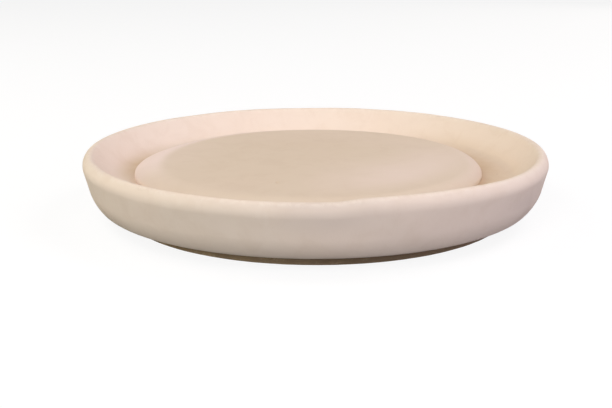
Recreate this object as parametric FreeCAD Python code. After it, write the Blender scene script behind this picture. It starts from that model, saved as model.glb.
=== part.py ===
import FreeCAD, Part
import math
import os

# Round plaster press mold for a shallow dish, as used in a pottery workshop.
# Three loose pieces are stacked on one upright axis: a brown hardboard bat at
# the bottom, a cast plaster dish on it, and a cast plaster disc that lies on
# the floor of the dish. The ring of open floor between the disc and the
# sloping inner wall is the moat that shapes the rim of the clay.
# All lengths are millimetres. Z is up and Z = 0 is the underside of the board.

# Board under the mold (a 10 inch bat)
BOARD_RADIUS = 127.0
BOARD_THICKNESS = 8.0
BOARD_ARRIS = 0.6

# Plaster dish (12 inches across)
DISH_RADIUS = 152.4
DISH_HEIGHT = 34.0
RIM_RADIUS = 3.6
RIM_OUTER_RADIUS = 8.0
RIM_TURN = math.radians(40.0)
WALL_FLARE = math.radians(14.5)
HEEL_RISE = 13.4
HEEL_RADIUS = 28.0
HEEL_ROUND = 5.0
FLOOR_THICKNESS = 16.0
INNER_SLOPE = math.radians(49.0)
COVE_RADIUS = 10.0

# Loose plaster disc
DISC_RADIUS = 115.0
DISC_HEIGHT = 9.0
DISC_FLAT_RADIUS = 94.0
DISC_SHOULDER_RADIUS = 48.0
DISC_EDGE_RADIUS = 2.5
DISC_ARRIS = 1.0
DISC_OFF_CENTRE = -4.6

# Heights at which the pieces rest on one another
DISH_BOTTOM = BOARD_THICKNESS
DISH_FLOOR = DISH_BOTTOM + FLOOR_THICKNESS
DISH_TOP = DISH_BOTTOM + DISH_HEIGHT
DISC_TOP = DISH_FLOOR + DISC_HEIGHT


def point(radius, height):
    """A point of a turned outline, at a radius from the axis and a height."""
    return FreeCAD.Vector(radius, 0.0, height)


def polar(centre, radius, angle):
    """The point of a circle at an angle, measured up from outward."""
    return centre + point(radius * math.cos(angle), radius * math.sin(angle))


def line(start, end):
    """A straight edge of a turned outline."""
    return Part.makeLine(start, end)


def arc(centre, radius, start_angle, end_angle):
    """An arc edge about a centre from one angle to another."""
    start = polar(centre, radius, start_angle)
    middle = polar(centre, radius, 0.5 * (start_angle + end_angle))
    end = polar(centre, radius, end_angle)
    return Part.Arc(start, middle, end).toShape()


def turned(edges):
    """A solid of revolution about the upright axis from a closed outline."""
    face = Part.Face(Part.Wire(edges))
    return face.revolve(FreeCAD.Vector(0, 0, 0), FreeCAD.Vector(0, 0, 1), 360.0)


def base_board():
    """Plain round hardboard bat with lightly broken edges."""
    axis_low = point(0.0, 0.0)
    low_inner = point(BOARD_RADIUS - BOARD_ARRIS, 0.0)
    low_outer = point(BOARD_RADIUS, BOARD_ARRIS)
    high_outer = point(BOARD_RADIUS, BOARD_THICKNESS - BOARD_ARRIS)
    high_inner = point(BOARD_RADIUS - BOARD_ARRIS, BOARD_THICKNESS)
    axis_high = point(0.0, BOARD_THICKNESS)
    edges = [
        line(axis_low, low_inner),
        line(low_inner, low_outer),
        line(low_outer, high_outer),
        line(high_outer, high_inner),
        line(high_inner, axis_high),
        line(axis_high, axis_low),
    ]
    return turned(edges)


def mold_body():
    """Plaster dish: flat underside, round heel, straight flared outer wall, thin
    round rim, straight sloping inner wall, and a cove into a flat floor."""
    # The rim is a small arc on top and a larger one where it meets the outer wall.
    rim_offset = (RIM_OUTER_RADIUS - RIM_RADIUS) * math.cos(RIM_TURN)
    rim_x = DISH_RADIUS - RIM_OUTER_RADIUS + rim_offset
    rim_centre = point(rim_x, DISH_TOP - RIM_RADIUS)
    outer_centre = polar(rim_centre, RIM_RADIUS - RIM_OUTER_RADIUS, RIM_TURN)
    wall_high = polar(outer_centre, RIM_OUTER_RADIUS, -WALL_FLARE)

    # The outer wall runs straight down to the heel arc.
    wall_low_z = DISH_BOTTOM + HEEL_RISE
    wall_drop = wall_high.z - wall_low_z
    wall_low = point(wall_high.x - wall_drop * math.tan(WALL_FLARE), wall_low_z)
    heel_centre = polar(wall_low, -HEEL_RADIUS, -WALL_FLARE)

    # A small round runs smoothly from the heel arc into the flat underside.
    centre_gap = HEEL_RADIUS - HEEL_ROUND
    centre_drop = heel_centre.z - DISH_BOTTOM - HEEL_ROUND
    heel_end_angle = -math.asin(centre_drop / centre_gap)
    round_centre = polar(heel_centre, centre_gap, heel_end_angle)
    round_low = point(round_centre.x, DISH_BOTTOM)

    # The inner wall would meet the floor in a corner, which the cove rounds.
    rim_end_angle = math.pi / 2.0 + INNER_SLOPE
    rim_inner = polar(rim_centre, RIM_RADIUS, rim_end_angle)
    wall_run = (rim_inner.z - DISH_FLOOR) / math.tan(INNER_SLOPE)
    cove_reach = COVE_RADIUS * math.tan(INNER_SLOPE / 2.0)
    cove_low = point(rim_inner.x - wall_run - cove_reach, DISH_FLOOR)
    cove_centre = cove_low + point(0.0, COVE_RADIUS)
    cove_start_angle = INNER_SLOPE - math.pi / 2.0
    cove_high = polar(cove_centre, COVE_RADIUS, cove_start_angle)

    axis_low = point(0.0, DISH_BOTTOM)
    axis_high = point(0.0, DISH_FLOOR)
    edges = [
        line(axis_low, round_low),
        arc(round_centre, HEEL_ROUND, -math.pi / 2.0, heel_end_angle),
        arc(heel_centre, HEEL_RADIUS, heel_end_angle, -WALL_FLARE),
        line(wall_low, wall_high),
        arc(outer_centre, RIM_OUTER_RADIUS, -WALL_FLARE, RIM_TURN),
        arc(rim_centre, RIM_RADIUS, RIM_TURN, rim_end_angle),
        line(rim_inner, cove_high),
        arc(cove_centre, COVE_RADIUS, cove_start_angle, -math.pi / 2.0),
        line(cove_low, axis_high),
        line(axis_high, axis_low),
    ]
    return turned(edges)


def centre_disc():
    """Loose plaster disc with a flat top, a broad soft shoulder and a small
    rounded edge. It lies a little to one side of the middle of the dish."""
    axis_low = point(0.0, DISH_FLOOR)
    low_inner = point(DISC_RADIUS - DISC_ARRIS, DISH_FLOOR)
    low_outer = point(DISC_RADIUS, DISH_FLOOR + DISC_ARRIS)

    # The shoulder arc leaves the flat top smoothly and runs smoothly into the
    # edge arc, which ends upright at the full radius.
    shoulder_centre = point(DISC_FLAT_RADIUS, DISC_TOP - DISC_SHOULDER_RADIUS)
    edge_x = DISC_RADIUS - DISC_EDGE_RADIUS
    centre_gap = DISC_SHOULDER_RADIUS - DISC_EDGE_RADIUS
    lean = math.asin((edge_x - DISC_FLAT_RADIUS) / centre_gap)
    shoulder_angle = math.pi / 2.0 - lean
    edge_centre = polar(shoulder_centre, centre_gap, shoulder_angle)
    edge_low = edge_centre + point(DISC_EDGE_RADIUS, 0.0)
    flat_end = point(DISC_FLAT_RADIUS, DISC_TOP)
    axis_high = point(0.0, DISC_TOP)

    edges = [
        line(axis_low, low_inner),
        line(low_inner, low_outer),
        line(low_outer, edge_low),
        arc(edge_centre, DISC_EDGE_RADIUS, 0.0, shoulder_angle),
        arc(shoulder_centre, DISC_SHOULDER_RADIUS, shoulder_angle, math.pi / 2.0),
        line(flat_end, axis_high),
        line(axis_high, axis_low),
    ]
    disc = turned(edges)
    disc.translate(FreeCAD.Vector(DISC_OFF_CENTRE, 0.0, 0.0))
    return disc


os.makedirs("parts", exist_ok=True)
base_board().exportStep("parts/base_board.step")
mold_body().exportStep("parts/mold_body.step")
centre_disc().exportStep("parts/centre_disc.step")
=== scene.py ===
import math

import bpy
import numpy as np
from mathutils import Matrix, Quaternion, Vector, noise


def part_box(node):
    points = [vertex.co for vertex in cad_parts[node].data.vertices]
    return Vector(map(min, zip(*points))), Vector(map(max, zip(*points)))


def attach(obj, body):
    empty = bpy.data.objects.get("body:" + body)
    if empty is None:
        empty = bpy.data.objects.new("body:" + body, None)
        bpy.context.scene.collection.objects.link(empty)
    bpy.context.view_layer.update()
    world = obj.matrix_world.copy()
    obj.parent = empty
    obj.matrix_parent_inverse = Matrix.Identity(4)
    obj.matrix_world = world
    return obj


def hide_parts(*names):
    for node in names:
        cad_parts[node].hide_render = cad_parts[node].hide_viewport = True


# Looks of a round plaster press mold on a hardboard bat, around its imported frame.
# Lengths are metres, and heights are from the ground that the board stands on.
# Azimuths are degrees from the front (-Y) towards the right (+X).

MM = 0.001

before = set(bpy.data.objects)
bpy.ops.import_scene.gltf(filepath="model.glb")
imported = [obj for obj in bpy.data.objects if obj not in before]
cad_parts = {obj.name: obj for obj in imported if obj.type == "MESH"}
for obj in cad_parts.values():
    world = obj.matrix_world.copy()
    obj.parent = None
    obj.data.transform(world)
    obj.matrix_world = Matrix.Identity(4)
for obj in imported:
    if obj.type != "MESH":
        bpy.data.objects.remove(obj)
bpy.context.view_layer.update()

board_low, board_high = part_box("base_board")
dish_low, dish_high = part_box("mold_body")
disc_low, disc_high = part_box("centre_disc")

BOARD_RADIUS = board_high.x
DISH_RADIUS = dish_high.x
DISC_RADIUS = (disc_high.x - disc_low.x) / 2
DISC_CENTRE_X = (disc_high.x + disc_low.x) / 2
BOARD_TOP = board_high.z
DISH_TOP = dish_high.z
DISH_FLOOR = disc_low.z
DISC_TOP = disc_high.z

# Outline of the dish, as in the frame
RIM_RADIUS = 3.6 * MM
RIM_OUTER_RADIUS = 8 * MM
RIM_TURN = math.radians(40)
WALL_FLARE = math.radians(14.5)
HEEL_TOP = 21.4 * MM
HEEL_RADIUS = 28 * MM
HEEL_ROUND = 5 * MM
INNER_SLOPE = math.radians(49)
COVE_RADIUS = 10 * MM

# The floor of the dish is level to the first radius and uneven beyond the second
LEVEL_FLOOR_RADIUS = 121 * MM
LOOSE_WALL_RADIUS = 132 * MM

# Outline of the disc: its shoulder is broad on the left and tighter on the right
DISC_EDGE_RADIUS = 2.5 * MM
DISC_EDGE_HEIGHT = 2.57 * MM
DISC_FLAT_LEFT = 94 * MM
DISC_FLAT_RIGHT = 105 * MM
DISC_ARRIS = 1 * MM

# The board is sawn by hand: a little small, and the dish isn't quite in its middle
BOARD_ARRIS = 0.6 * MM
BOARD_SHIFT = 0.9 * MM
BOARD_SHORTFALL = 0.15 * MM

# A knock raised the rim at the front right
RIM_RAISED = 2.0 * MM
RIM_PUSHED_OUT = 0.5 * MM

# A tool nicked the top of the disc, here to the right of its axis and ahead of it
NICK_ACROSS = -18.4 * MM
NICK_AHEAD = 66 * MM
NICK_DEPTH = 0.6 * MM

# Round meshes start this far from the axis, and have this many steps of azimuth
POLE_RADIUS = 2 * MM
TURN_STEPS = 720

LAMP_DISTANCE = 1.8
LAMP_SIZE = 1.0
FLOOR_GLOW = 0.88
FLOOR_REACH = 60.0

# The camera's place is from the middle of the rim, and its aim from the origin
CAMERA_DISTANCE = 4.6 * DISH_RADIUS
CAMERA_ELEVATION = math.radians(11.83)
CAMERA_AIM = (-6.1 * MM, 0, 1.65 * MM)
CAMERA_ROLL = math.radians(-0.15)
CAMERA_LENS = 61.75


# ---------------------------------------------------------------- mesh helpers

def spaced(low, high, step):
    """Evenly spaced numbers from low to high, about a step apart."""
    count = max(2, int(round(abs(high - low) / step)) + 1)
    return np.linspace(low, high, count)


def straight(start, end, step):
    """Points along a straight stretch of an outline."""
    length = math.dist(start, end)
    t = spaced(0, length, step) / length
    return np.outer(1 - t, start) + np.outer(t, end)


def arc(centre, radius, start, end, step):
    """Points along a round stretch of an outline, with its angles in radians."""
    t = start + (end - start) * spaced(0, 1, step / (radius * abs(end - start)))
    return np.column_stack([centre[0] + radius * np.cos(t), centre[1] + radius * np.sin(t)])


def polar(centre, radius, angle):
    """The point at an angle on a circle."""
    return (centre[0] + radius * math.cos(angle), centre[1] + radius * math.sin(angle))


def joined(*stretches):
    """One outline from stretches that meet end to end."""
    points = [stretches[0]]
    for stretch in stretches[1:]:
        points.append(stretch[1:])
    return np.vstack(points)


def turned_faces(rows, steps):
    """Quads between neighbouring rings, and a fan at each end on the axis."""
    faces = []
    for row in range(rows - 1):
        for step in range(steps):
            after = (step + 1) % steps
            a, b = row * steps + step, row * steps + after
            faces.append((a, b, b + steps, a + steps))
    low_pole, high_pole = rows * steps, rows * steps + 1
    last = (rows - 1) * steps
    for step in range(steps):
        after = (step + 1) % steps
        faces.append((low_pole, after, step))
        faces.append((high_pole, last + step, last + after))
    return faces


def turned(name, rings, centre_x, material, body, node):
    """A closed turned piece. rings[row, step] is a radius and a height at each step
    of azimuth. The first ring is next to the axis below and the last is above."""
    rows, steps = rings.shape[:2]
    angle = np.linspace(0, 2 * math.pi, steps, endpoint=False)
    x = centre_x + rings[:, :, 0] * np.sin(angle)
    y = -rings[:, :, 0] * np.cos(angle)
    points = np.stack([x, y, rings[:, :, 1]], axis=2).reshape(-1, 3)
    poles = [(centre_x, 0, rings[0, :, 1].mean()), (centre_x, 0, rings[-1, :, 1].mean())]
    mesh = bpy.data.meshes.new(name)
    mesh.from_pydata(np.vstack([points, poles]).tolist(), [], turned_faces(rows, steps))
    mesh.polygons.foreach_set("use_smooth", [True] * len(mesh.polygons))
    mesh.materials.append(material)
    mesh.update()
    piece = bpy.data.objects.new(name, mesh)
    bpy.context.scene.collection.objects.link(piece)
    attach(piece, body)
    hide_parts(node)
    return piece


def swept(outline, steps):
    """The same outline at every step of azimuth."""
    return np.repeat(outline[:, None, :], steps, axis=1)


def outward_normals(rings):
    """The outline's outward normal at each ring, as a radius and a height part."""
    along = np.gradient(rings, axis=0)
    normal = np.stack([along[:, :, 1], -along[:, :, 0]], axis=2)
    return normal / np.linalg.norm(normal, axis=2, keepdims=True)


def azimuths(steps):
    """Azimuth in degrees at each step, from -180 to 180, with 0 at the front."""
    angle = np.linspace(0, 360, steps, endpoint=False)
    return (angle + 180) % 360 - 180


def bump(value, centre, width):
    """A smooth hill of height 1."""
    return np.exp(-(((value - centre) / width) ** 2))


def ramp(value, low, high):
    """Smooth step from 0 at low to 1 at high."""
    t = np.clip((value - low) / (high - low), 0, 1)
    return t * t * (3 - 2 * t)


def unevenness(rings, size, seed):
    """Soft noise, about -1 to 1, with hills of about the given size in metres."""
    rows, steps = rings.shape[:2]
    angle = np.linspace(0, 2 * math.pi, steps, endpoint=False)
    values = np.empty((rows, steps))
    for row in range(rows):
        for step in range(steps):
            radius, height = rings[row, step]
            spot = Vector((radius * math.sin(angle[step]), -radius * math.cos(angle[step]), height))
            values[row, step] = noise.noise(spot / size + Vector((seed, 3 * seed, 7 * seed)))
    return values


# ------------------------------------------------------------ material helpers

class Shader:
    """Builds one node material, with short calls for the nodes that are used."""

    def __init__(self, name):
        self.material = bpy.data.materials.new(name)
        self.material.use_nodes = True
        self.tree = self.material.node_tree
        self.surface = self.tree.nodes["Principled BSDF"]
        self.place = self.node("ShaderNodeTexCoord").outputs["Object"]

    def node(self, kind, **settings):
        """A new node of a kind, with its settings."""
        made = self.tree.nodes.new(kind)
        for key, value in settings.items():
            setattr(made, key, value)
        return made

    def put(self, value, socket):
        """Links an output to a socket, or sets the socket to a number or colour."""
        if isinstance(value, bpy.types.NodeSocket):
            self.tree.links.new(value, socket)
        else:
            socket.default_value = value

    def noise(self, size, detail=3.0, rough=0.5, warp=0.0, place=None):
        """Noise from 0 to 1 with features of about the given size in metres."""
        made = self.node("ShaderNodeTexNoise")
        self.put(place or self.place, made.inputs["Vector"])
        made.inputs["Scale"].default_value = 1 / size
        made.inputs["Detail"].default_value = detail
        made.inputs["Roughness"].default_value = rough
        made.inputs["Distortion"].default_value = warp
        return made.outputs["Fac"]

    def cells(self, size):
        """Scattered cells of about the given size in metres."""
        made = self.node("ShaderNodeTexVoronoi", feature="F1")
        self.put(self.place, made.inputs["Vector"])
        made.inputs["Scale"].default_value = 1 / size
        made.inputs["Randomness"].default_value = 1.0
        return made

    def math(self, operation, first, second=0.0, third=0.0):
        """One sum of up to three numbers or outputs."""
        made = self.node("ShaderNodeMath", operation=operation)
        for value, socket in zip((first, second, third), made.inputs):
            self.put(value, socket)
        return made.outputs[0]

    def between(self, value, low, high, out_low=0.0, out_high=1.0):
        """Smooth step of a value from one range to another."""
        made = self.node("ShaderNodeMapRange", interpolation_type="SMOOTHSTEP")
        sockets = ("Value", "From Min", "From Max", "To Min", "To Max")
        for name, number in zip(sockets, (value, low, high, out_low, out_high)):
            self.put(number, made.inputs[name])
        return made.outputs["Result"]

    def mix(self, factor, first, second):
        """A colour between two others."""
        made = self.node("ShaderNodeMix", data_type="RGBA", blend_type="MIX")
        self.put(factor, made.inputs["Factor"])
        self.put(first, made.inputs[6])
        self.put(second, made.inputs[7])
        return made.outputs[2]

    def relief(self, height, depth, under=None):
        """A bump of a height from 0 to 1, depth metres deep, over another bump."""
        made = self.node("ShaderNodeBump")
        made.inputs["Strength"].default_value = 1.0
        made.inputs["Distance"].default_value = depth
        self.put(height, made.inputs["Height"])
        if under is not None:
            self.put(under, made.inputs["Normal"])
        return made.outputs["Normal"]

    def attribute(self, name):
        """A number stored at the vertices, or 0 on a piece without it."""
        return self.node("ShaderNodeAttribute", attribute_name=name).outputs["Fac"]

    def split(self, place=None):
        """The three parts of a place or a colour."""
        made = self.node("ShaderNodeSeparateXYZ")
        self.put(place or self.place, made.inputs[0])
        return made.outputs

    def from_axis(self, centre_x=0.0):
        """Distance from an upright axis."""
        x, y, _ = self.split()
        across = self.math("SUBTRACT", x, centre_x)
        return self.math("SQRT", self.math("ADD", self.math("MULTIPLY", across, across),
                                           self.math("MULTIPLY", y, y)))

    def scaled(self, factors):
        """The place, stretched along each axis."""
        made = self.node("ShaderNodeMapping")
        self.put(self.place, made.inputs["Vector"])
        made.inputs["Scale"].default_value = factors
        return made.outputs["Vector"]


def colour(red, green, blue):
    """A node colour from sRGB parts of 0 to 255."""
    parts = [c / 255 for c in (red, green, blue)]
    linear = [c / 12.92 if c <= 0.04045 else ((c + 0.055) / 1.055) ** 2.4 for c in parts]
    return (*linear, 1.0)


# -------------------------------------------------------------------- materials

def plaster(name, pale, warm, stain, painted_light, centre_x, ring_depth):
    """Dry cast plaster: chalky, faintly mottled, with fine grain, pinholes, soft
    scuffs and the faint rings that a scraper leaves on a turned face."""
    s = Shader(name)
    cloud = s.between(s.noise(60 * MM, 2, 0.5, 0.4), 0.38, 0.66)
    patch = s.between(s.noise(14 * MM, 4, 0.6, 0.6), 0.42, 0.72)
    grain = s.noise(1.1 * MM, 3, 0.65)
    speck = s.noise(0.35 * MM, 2, 0.7)

    tone = s.mix(s.math("MULTIPLY", cloud, 0.55), pale, warm)
    tone = s.mix(s.math("MULTIPLY", patch, 0.16), tone, stain)
    tone = s.mix(s.between(speck, 0.62, 0.8, 0.0, 0.18), tone, stain)

    # Painted light: painted highlight round the disc's edge and over its flat, and painted shade in
    # grey patches on the dish.
    ragged = s.math("ADD", s.attribute("painted_light"), s.math("MULTIPLY_ADD", cloud, 0.10, -0.05))
    tone = s.mix(s.between(ragged, 0.0, 1.0), tone, painted_light)

    # Painted shade: the moat beside the disc, the disc's foot and the nick are painted darker and
    # yellower.
    cloudy = s.between(s.noise(22 * MM, 3, 0.6), 0.3, 0.7, 0.6, 0.8)
    tone = s.mix(s.math("MULTIPLY", s.attribute("painted_shade"), cloudy), tone, colour(212, 184, 148))

    # Handling polishes the rim and edges a little paler.
    rubbed = s.between(s.noise(6 * MM, 4, 0.65, 0.5), 0.4, 0.62)
    worn = s.math("MULTIPLY", s.attribute("edge"), rubbed)
    tone = s.mix(s.math("MULTIPLY", worn, 0.25), tone, colour(250, 240, 226))

    # Air bubbles: few, small and round, their insides painted darker as shade.
    bubbles = s.cells(11 * MM)
    chosen = s.between(s.split(bubbles.outputs["Color"])[0], 0.95, 0.96)
    near = s.between(bubbles.outputs["Distance"], 0.025, 0.045, 1.0, 0.0)
    hole = s.math("MULTIPLY", near, chosen)
    tone = s.mix(s.math("MULTIPLY", hole, 0.55), tone, colour(140, 118, 96))
    s.put(tone, s.surface.inputs["Base Color"])

    dry = s.between(grain, 0.3, 0.7, 0.80, 0.95)
    s.put(s.math("SUBTRACT", dry, s.math("MULTIPLY", worn, 0.18)), s.surface.inputs["Roughness"])
    s.surface.inputs["Specular IOR Level"].default_value = 0.3

    # Scraper rings wander and fade over soft hills and grain.
    radius = s.from_axis(centre_x)
    wander = s.math("MULTIPLY", s.noise(40 * MM, 2), 1.5 * MM)
    ring_phase = s.math("MULTIPLY", s.math("ADD", radius, wander), 2 * math.pi / (3.1 * MM))
    rings = s.math("MULTIPLY_ADD", s.math("SINE", ring_phase), 0.5, 0.5)
    rings = s.math("MULTIPLY", rings, s.between(s.noise(30 * MM, 2), 0.35, 0.65))
    normal = s.relief(rings, ring_depth)
    normal = s.relief(s.noise(9 * MM, 3, 0.55), 0.12 * MM, normal)
    normal = s.relief(grain, 0.05 * MM, normal)
    normal = s.relief(s.math("SUBTRACT", 1.0, hole), 0.4 * MM, normal)
    s.put(normal, s.surface.inputs["Normal"])
    return s.material


def hardboard():
    """Pressed brown hardboard: smooth face, screen-patterned back, fibrous edge,
    and a thin coat of plaster dust."""
    s = Shader("hardboard")
    side, depth, height = s.split()
    brown = colour(172, 147, 114)
    dark = colour(142, 118, 88)
    light = colour(203, 180, 147)

    fibre_a = s.noise(1.0, 4, 0.7, 0.0, s.scaled((900, 120, 500)))
    fibre_b = s.noise(1.0, 4, 0.7, 0.0, s.scaled((120, 900, 500)))
    fibre = s.math("MULTIPLY", s.math("ADD", fibre_a, fibre_b), 0.5)
    mottle = s.noise(18 * MM, 4, 0.6, 0.5)
    tone = s.mix(s.between(mottle, 0.3, 0.62, 0.25, 0.85), dark, brown)
    tone = s.mix(s.between(fibre, 0.5, 0.66, 0.0, 0.55), tone, light)
    layers = s.noise(1.0, 3, 0.6, 0.2, s.scaled((40, 40, 1400)))
    rim = s.between(s.from_axis(), BOARD_RADIUS - 1.5 * MM, BOARD_RADIUS - 0.4 * MM)
    layered = s.math("MULTIPLY", s.between(layers, 0.4, 0.62), s.math("MULTIPLY", rim, 0.35))
    tone = s.mix(layered, tone, dark)
    dust = s.math("MULTIPLY", s.between(height, 0.2 * BOARD_TOP, BOARD_TOP, 0.1, 0.6),
                  s.between(s.noise(12 * MM, 5, 0.7, 0.4), 0.48, 0.75))
    tone = s.mix(s.math("MULTIPLY", dust, 0.35), tone, colour(212, 198, 178))

    # Painted shade: the board is painted darker towards the right.
    painted_shade_right = s.between(side, -55 * MM, 60 * MM, 0.0, 0.5)
    tone = s.mix(painted_shade_right, tone, colour(95, 78, 60))
    s.put(tone, s.surface.inputs["Base Color"])
    s.put(s.between(mottle, 0.3, 0.7, 0.55, 0.78), s.surface.inputs["Roughness"])
    s.surface.inputs["Specular IOR Level"].default_value = 0.35

    # The press screen leaves a fine square weave on the underside only.
    pitch = 2 * math.pi / (1.6 * MM)
    weave = s.math("MULTIPLY", s.math("SINE", s.math("MULTIPLY", side, pitch)),
                   s.math("SINE", s.math("MULTIPLY", depth, pitch)))
    weave = s.math("MULTIPLY_ADD", weave, 0.5, 0.5)
    under = s.between(height, 0.05 * MM, 0.4 * MM, 1.0, 0.0)
    normal = s.relief(s.math("MULTIPLY", weave, under), 0.35 * MM)
    normal = s.relief(fibre, 0.12 * MM, normal)
    normal = s.relief(s.math("MULTIPLY", layers, rim), 0.25 * MM, normal)
    s.put(normal, s.surface.inputs["Normal"])
    return s.material


def point_attribute(piece, name, values):
    """Stores one number at each vertex, 0 at the two poles."""
    layer = piece.data.attributes.new(name, "FLOAT", "POINT")
    layer.data.foreach_set("value", np.append(values.ravel(), [0, 0]).astype(np.float32))


# ----------------------------------------------------------------------- pieces

def build_board():
    """Round bat with lightly broken edges that are a little uneven."""
    arris = BOARD_ARRIS
    inner = BOARD_RADIUS - 6 * MM
    fine, coarse = 0.5 * MM, 6 * MM
    outline = joined(
        straight((POLE_RADIUS, 0), (inner, 0), coarse),
        straight((inner, 0), (BOARD_RADIUS - arris, 0), fine),
        arc((BOARD_RADIUS - arris, arris), arris, -math.pi / 2, 0, fine / 2),
        straight((BOARD_RADIUS, arris), (BOARD_RADIUS, BOARD_TOP - arris), fine),
        arc((BOARD_RADIUS - arris, BOARD_TOP - arris), arris, 0, math.pi / 2, fine / 2),
        straight((BOARD_RADIUS - arris, BOARD_TOP), (inner, BOARD_TOP), fine),
        straight((inner, BOARD_TOP), (POLE_RADIUS, BOARD_TOP), coarse),
    )
    rings = swept(outline, TURN_STEPS)
    near_edge = ramp(rings[:, :, 0], BOARD_RADIUS - 4 * MM, BOARD_RADIUS)
    rings[:, :, 0] += near_edge * 0.18 * MM * (unevenness(rings, 7 * MM, 5) - 0.5)
    rings[:, :, 0] -= BOARD_SHORTFALL * ramp(rings[:, :, 0], 0, BOARD_RADIUS)
    return turned("board", rings, BOARD_SHIFT, hardboard(), "board", "base_board")


def dish_outline():
    """The dish from the axis below, round the rim, to the axis on its floor."""
    fine, coarse = 0.85 * MM, 7 * MM
    rim_x = DISH_RADIUS - RIM_OUTER_RADIUS + (RIM_OUTER_RADIUS - RIM_RADIUS) * math.cos(RIM_TURN)
    rim_centre = (rim_x, DISH_TOP - RIM_RADIUS)
    outer_centre = polar(rim_centre, RIM_RADIUS - RIM_OUTER_RADIUS, RIM_TURN)
    wall_high = polar(outer_centre, RIM_OUTER_RADIUS, -WALL_FLARE)
    wall_low = (wall_high[0] - (wall_high[1] - HEEL_TOP) * math.tan(WALL_FLARE), HEEL_TOP)
    heel_centre = polar(wall_low, -HEEL_RADIUS, -WALL_FLARE)
    fall = heel_centre[1] - BOARD_TOP - HEEL_ROUND
    heel_end = -math.asin(fall / (HEEL_RADIUS - HEEL_ROUND))
    foot_centre = polar(heel_centre, HEEL_RADIUS - HEEL_ROUND, heel_end)
    rim_end = math.pi / 2 + INNER_SLOPE
    rim_inner = polar(rim_centre, RIM_RADIUS, rim_end)
    corner_radius = rim_inner[0] - (rim_inner[1] - DISH_FLOOR) / math.tan(INNER_SLOPE)
    cove_x = corner_radius - COVE_RADIUS * math.tan(INNER_SLOPE / 2)
    cove_centre = (cove_x, DISH_FLOOR + COVE_RADIUS)
    cove_start = INNER_SLOPE - math.pi / 2
    return joined(
        straight((POLE_RADIUS, BOARD_TOP), (BOARD_RADIUS - 3 * MM, BOARD_TOP), coarse),
        straight((BOARD_RADIUS - 3 * MM, BOARD_TOP), (foot_centre[0], BOARD_TOP), 1.5 * MM),
        arc(foot_centre, HEEL_ROUND, -math.pi / 2, heel_end, fine / 2),
        arc(heel_centre, HEEL_RADIUS, heel_end, -WALL_FLARE, fine),
        straight(wall_low, wall_high, fine),
        arc(outer_centre, RIM_OUTER_RADIUS, -WALL_FLARE, RIM_TURN, fine),
        arc(rim_centre, RIM_RADIUS, RIM_TURN, rim_end, fine / 2),
        straight(rim_inner, polar(cove_centre, COVE_RADIUS, cove_start), fine),
        arc(cove_centre, COVE_RADIUS, cove_start, -math.pi / 2, fine),
        straight((cove_x, DISH_FLOOR), (DISC_RADIUS - 12 * MM, DISH_FLOOR), 1.5 * MM),
        straight((DISC_RADIUS - 12 * MM, DISH_FLOOR), (POLE_RADIUS, DISH_FLOOR), coarse),
    )


def rim_wave(azimuth):
    """How far the rim is pushed up, 0 to 1, along the stretch at the front right."""
    return ramp(azimuth, 3, 12) * (1 - ramp(azimuth, 24, 62))


def build_dish(material):
    """Cast dish with a knocked rim at the front right and hand-scraped walls."""
    rings = swept(dish_outline(), TURN_STEPS)
    normal = outward_normals(rings)
    radius, height = rings[:, :, 0].copy(), rings[:, :, 1].copy()
    azimuth = azimuths(TURN_STEPS)[None, :]

    row = np.arange(len(rings))[:, None]
    outside = (row <= height[:, 0].argmax()) * 1.0
    wall = outside * ramp(height, BOARD_TOP + 2 * MM, BOARD_TOP + 8 * MM)
    high = ramp(height, DISH_TOP - 16 * MM, DISH_TOP - 3 * MM)

    # Soft hills all over, and two lumps on the wall below the knock. Everything stays
    # level where a piece stands on another.
    inside = ramp(radius, LEVEL_FLOOR_RADIUS, LOOSE_WALL_RADIUS)
    loose = ramp(height, BOARD_TOP, BOARD_TOP + 3 * MM) * np.where(outside > 0, 1, inside)
    push = 0.30 * MM * unevenness(rings, 45 * MM, 1) + 0.10 * MM * unevenness(rings, 12 * MM, 2)
    push = push + 0.50 * MM * wall * bump(azimuth, 18, 7) * bump(height, 28 * MM, 6 * MM)
    push = push + 0.20 * MM * wall * bump(azimuth, 23, 4) * bump(height, 22 * MM, 5 * MM)
    rings += normal * (push * loose)[:, :, None]

    wave = rim_wave(azimuth) * high
    rings[:, :, 1] += RIM_RAISED * wave
    rings[:, :, 0] += RIM_PUSHED_OUT * wave * outside

    dish = turned("dish", rings, 0, material, "dish", "mold_body")

    # Painted shade in the moat beside the disc, most on the right and at one spot
    # at the back left.
    across, ahead = radius * np.sin(np.radians(azimuth)), radius * np.cos(np.radians(azimuth))
    gap = np.hypot(across - DISC_CENTRE_X, ahead) - DISC_RADIUS
    right = ramp(across, 45 * MM, 110 * MM)
    painted_shade = 0.15 + 0.8 * right + 0.85 * bump(azimuth, -103, 15)
    painted_shade = painted_shade * (1 - ramp(gap, 4 * MM, (18 + 14 * right) * MM)) * ramp(gap, -12 * MM, -3 * MM)
    stain_top = DISH_FLOOR + (9 + 7 * right) * MM
    painted_shade = painted_shade * (1 - ramp(height, DISH_FLOOR + 2 * MM, stain_top)) * (1 - outside)
    point_attribute(dish, "painted_shade", painted_shade)
    point_attribute(dish, "edge", ramp(height, DISH_TOP - 3 * MM, DISH_TOP - 0.5 * MM))

    # Painted shade: grey patches at two places on the wall and one on the rim.
    rim = ramp(height, DISH_TOP - 4 * MM, DISH_TOP - 1 * MM)
    painted_shade_patches = 0.26 * bump(azimuth, 2, 18) * bump(height, 34 * MM, 11 * MM)
    painted_shade_patches = painted_shade_patches + 0.24 * bump(azimuth, 57, 14) * bump(height, 24 * MM, 10 * MM)
    painted_shade_patches = painted_shade_patches * outside + 0.16 * bump(azimuth, -4, 22) * rim
    point_attribute(dish, "painted_light", painted_shade_patches)
    return dish


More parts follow.
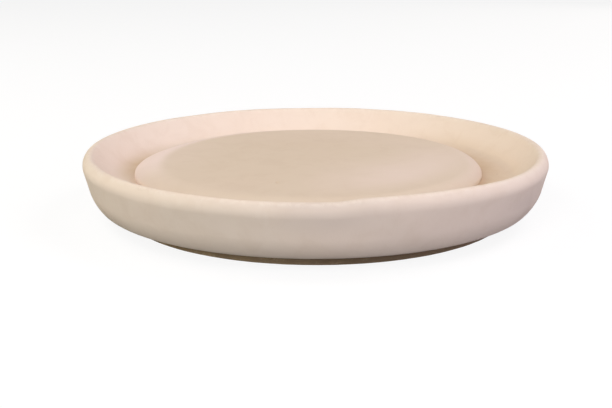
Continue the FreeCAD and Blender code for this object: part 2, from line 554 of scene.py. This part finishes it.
def disc_outline(flat):
    """The disc from the axis below to the axis on top, for one radius of its flat."""
    edge_low = DISH_FLOOR + DISC_EDGE_HEIGHT
    drop = DISC_TOP - edge_low
    edge_x = DISC_RADIUS - DISC_EDGE_RADIUS
    reach = edge_x - flat
    shoulder = (reach**2 + drop**2 - DISC_EDGE_RADIUS**2) / (2 * (drop - DISC_EDGE_RADIUS))
    lean = math.asin(reach / (shoulder - DISC_EDGE_RADIUS))
    turn = math.pi / 2 - lean
    side_low = (DISC_RADIUS, DISH_FLOOR + DISC_ARRIS)

    def stretch(points, count):
        """The same line with a set number of points, so that all azimuths match."""
        at = np.linspace(0, len(points) - 1, count)
        return np.column_stack([np.interp(at, range(len(points)), points[:, k]) for k in (0, 1)])

    # The rings are closest together over the nick.
    fine = 0.2 * MM
    under, foot = (DISC_RADIUS - 5 * MM, DISH_FLOOR), (DISC_RADIUS - DISC_ARRIS, DISH_FLOOR)
    beyond, before = (75 * MM, DISC_TOP), (62 * MM, DISC_TOP)
    return joined(
        stretch(straight((POLE_RADIUS, DISH_FLOOR), under, 5 * MM), 14),
        stretch(straight(under, foot, fine), 4),
        stretch(straight(foot, side_low, fine), 3),
        stretch(straight(side_low, (DISC_RADIUS, edge_low), fine), 5),
        stretch(arc((edge_x, edge_low), DISC_EDGE_RADIUS, 0, turn, fine), 9),
        stretch(arc((flat, DISC_TOP - shoulder), shoulder, turn, math.pi / 2, fine), 22),
        stretch(straight((flat, DISC_TOP), beyond, fine), 20),
        stretch(straight(beyond, before, fine), 27),
        stretch(straight(before, (POLE_RADIUS, DISC_TOP), fine), 40),
    )


def build_disc(material):
    """Loose disc whose top was scraped by hand, so it isn't quite flat."""
    azimuth = azimuths(TURN_STEPS)
    right = 0.5 + 0.5 * np.sin(np.radians(azimuth))
    flat = DISC_FLAT_LEFT + (DISC_FLAT_RIGHT - DISC_FLAT_LEFT) * right
    rings = np.stack([disc_outline(one) for one in flat], axis=1)
    normal = outward_normals(rings)
    radius, height = rings[:, :, 0].copy(), rings[:, :, 1].copy()
    loose = ramp(height, DISH_FLOOR + 1 * MM, DISH_FLOOR + 4 * MM)
    push = 0.16 * MM * unevenness(rings, 50 * MM, 3) + 0.05 * MM * unevenness(rings, 11 * MM, 4)
    across, ahead = radius * np.sin(np.radians(azimuth)), radius * np.cos(np.radians(azimuth))
    nick = bump(across, NICK_ACROSS, 0.9 * MM) * bump(ahead, NICK_AHEAD, 2.2 * MM)
    nick = nick * (height > DISC_TOP - 1 * MM)
    rings += normal * (push * loose - NICK_DEPTH * nick)[:, :, None]

    disc = turned("disc", rings, DISC_CENTRE_X, material, "disc", "centre_disc")
    # Painted shade at the disc's foot in the moat and in the nick.
    low = 1 - ramp(height, DISH_FLOOR, DISH_FLOOR + 3 * MM)
    point_attribute(disc, "painted_shade", 0.25 * low * (height > DISH_FLOOR) + 0.5 * nick)

    # Painted highlight: palest on the shoulder away from the front, over the outer
    # flat towards the back, and on a patch at the front right of the flat.
    away = ramp(-np.cos(np.radians(azimuth)), -0.8, 0.2)
    shoulder = ramp(radius, flat - 2 * MM, flat + 9 * MM)
    shoulder = shoulder * (0.1 + 0.9 * away) * (1 - 0.8 * right**2)
    painted_sheen = 0.35 * ramp(radius, 30 * MM, 98 * MM) * (0.3 + 0.7 * away)
    painted_sheen = painted_sheen * (1 - 0.5 * bump(ahead, -80 * MM, 55 * MM))
    painted_highlight_patch = 0.38 * bump(across, 50 * MM, 50 * MM) * bump(ahead, 45 * MM, 50 * MM)
    painted_highlight_patch = painted_highlight_patch * (1 - ramp(radius, 80 * MM, 108 * MM))
    point_attribute(disc, "painted_light", np.clip(painted_sheen + painted_highlight_patch + 0.65 * shoulder, 0, 1))
    return disc


# ------------------------------------------------------------------------ stage

def wide_plane(name, height, albedo, glow):
    """A wide level matt plane that can glow, open where the board covers it so that
    the board's underside can be seen and lit."""
    mesh = bpy.data.meshes.new(name)
    reaches = (BOARD_RADIUS - 1 * MM, 0.3, 1.0, 5.0, FLOOR_REACH)
    steps = 120
    angle = np.linspace(0, 2 * math.pi, steps, endpoint=False)
    around = list(zip(np.cos(angle), np.sin(angle)))
    points = [(reach * x, reach * y, height) for reach in reaches for x, y in around]
    faces = []
    for row in range(len(reaches) - 1):
        for step in range(steps):
            a, b = row * steps + step, row * steps + (step + 1) % steps
            faces.append((a, a + steps, b + steps, b))
    mesh.from_pydata(points, [], faces)
    s = Shader(name)
    s.surface.inputs["Base Color"].default_value = (albedo, albedo, albedo, 1)
    s.surface.inputs["Roughness"].default_value = 0.9
    s.surface.inputs["Specular IOR Level"].default_value = 0.1
    s.surface.inputs["Emission Color"].default_value = (1, 1, 1, 1)
    s.surface.inputs["Emission Strength"].default_value = glow
    mesh.materials.append(s.material)
    plane = bpy.data.objects.new(name, mesh)
    bpy.context.scene.collection.objects.link(plane)
    return plane


def studio_floor():
    """A white floor that is only seen, over a duller one that only throws light
    back up, so that the object is lit as on a dull table."""
    floor = wide_plane("floor", 0, 0.14, FLOOR_GLOW)
    floor.visible_diffuse = False
    floor.visible_glossy = False
    floor.visible_shadow = False
    bounce = wide_plane("bounce", -0.5 * MM, 0.25, 0)
    bounce.visible_camera = False


def soft_light(name, azimuth, elevation, tint, watts):
    """A round area light that faces the middle of the object and isn't seen itself."""
    lamp = bpy.data.lights.new(name, "AREA")
    lamp.shape = "DISK"
    lamp.size = LAMP_SIZE
    lamp.energy = watts
    lamp.color = tint
    holder = bpy.data.objects.new(name, lamp)
    a, e = math.radians(azimuth), math.radians(elevation)
    way = Vector((math.sin(a) * math.cos(e), -math.cos(a) * math.cos(e), math.sin(e)))
    middle = Vector((0, 0, DISH_TOP / 2))
    holder.location = middle + way * LAMP_DISTANCE
    holder.rotation_euler = (-way).to_track_quat("-Z", "Y").to_euler()
    holder.visible_camera = False
    bpy.context.scene.collection.objects.link(holder)


def white_surround():
    """A backdrop as white as the far floor that is only seen and lights nothing."""
    world = bpy.data.worlds.new("studio")
    world.use_nodes = True
    background = world.node_tree.nodes["Background"]
    background.inputs["Color"].default_value = (FLOOR_GLOW, FLOOR_GLOW, FLOOR_GLOW, 1)
    background.inputs["Strength"].default_value = 1
    world.cycles_visibility.diffuse = False
    world.cycles_visibility.glossy = False
    world.cycles_visibility.transmission = False
    world.cycles_visibility.scatter = False
    bpy.context.scene.world = world


def build_camera():
    """A camera in front of the mold, a little above the rim."""
    rim_middle = Vector((0, 0, DISH_TOP))
    way = Vector((0, -math.cos(CAMERA_ELEVATION), math.sin(CAMERA_ELEVATION)))
    place = rim_middle + CAMERA_DISTANCE * way
    aim = Vector(CAMERA_AIM)
    lens = bpy.data.cameras.new("camera")
    lens.sensor_width = 36
    lens.lens = CAMERA_LENS
    lens.clip_end = FLOOR_REACH
    camera = bpy.data.objects.new("camera", lens)
    camera.location = place
    roll = Quaternion((0, 0, 1), CAMERA_ROLL)
    camera.rotation_euler = ((aim - place).to_track_quat("-Z", "Y") @ roll).to_euler()
    bpy.context.scene.collection.objects.link(camera)
    bpy.context.scene.camera = camera


build_camera()
studio_floor()
white_surround()
soft_light("left_low", -105, 18, (1.0, 0.89, 0.71), 4.4)
soft_light("left_high", -105, 48, (1.0, 0.94, 0.84), 9.2)
soft_light("left_front", -60, 18, (1.0, 1.0, 0.81), 4.9)
soft_light("front_low", -20, 18, (0.97, 0.98, 1.0), 9.6)
soft_light("front_high", -20, 48, (1.0, 0.97, 0.96), 8.1)
soft_light("right_front", 60, 18, (0.92, 0.86, 1.0), 13.8)
soft_light("right_high", 105, 48, (1.0, 0.95, 0.97), 12.0)
soft_light("right_back", 150, 18, (1.0, 0.88, 0.82), 2.6)
soft_light("under", 30, -75, (1.0, 0.97, 0.94), 16.0)
bpy.context.scene.view_settings.view_transform = "Standard"

build_board()
# The last colour of each plaster is painted light: painted shade on the dish, painted highlight on
# the disc.
build_dish(plaster("dish_plaster", colour(240, 224, 208), colour(239, 221, 204),
                   colour(218, 195, 172), colour(190, 180, 176), 0, 0.02 * MM))
build_disc(plaster("disc_plaster", colour(224, 207, 186), colour(223, 205, 183),
                   colour(208, 186, 162), colour(244, 226, 217), DISC_CENTRE_X, 0.03 * MM))
